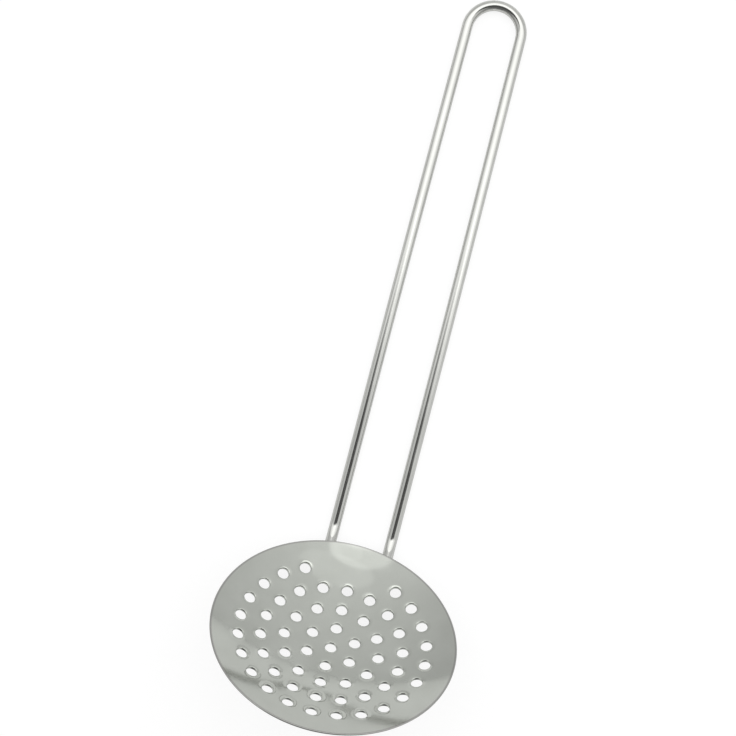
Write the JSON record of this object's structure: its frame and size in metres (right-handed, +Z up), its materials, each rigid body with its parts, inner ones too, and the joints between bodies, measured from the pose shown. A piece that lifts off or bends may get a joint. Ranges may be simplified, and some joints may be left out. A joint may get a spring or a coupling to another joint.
{
  "type": "kitchen skimmer",
  "caption": "Kitchen skimmer: a shallow round dish of pierced, dimpled sheet steel, welded to a long handle bent from one steel wire, with a loop at its end to hang it by.",
  "frame": {"origin": "on the table, under the middle of the skimmer's bounding box, as it lies on the legs of its handle", "axes": "+Y along the handle to its hanging loop, +Z up from the table, +X to the right; the dish tilts up at the -Y end with its hollow facing up and towards the handle"},
  "size_m": [0.11, 0.3448, 0.0776],
  "materials": {
    "dish_steel": "polished",
    "wire_steel": "bright polished",
    "weld_metal": "satin"
  },
  "bodies": {
    "root": {"perforated_dish": "dish_steel", "wire_handle": "wire_steel", "weld_beads_left": "weld_metal", "weld_beads_right": "weld_metal"}
  },
  "joints": []
}
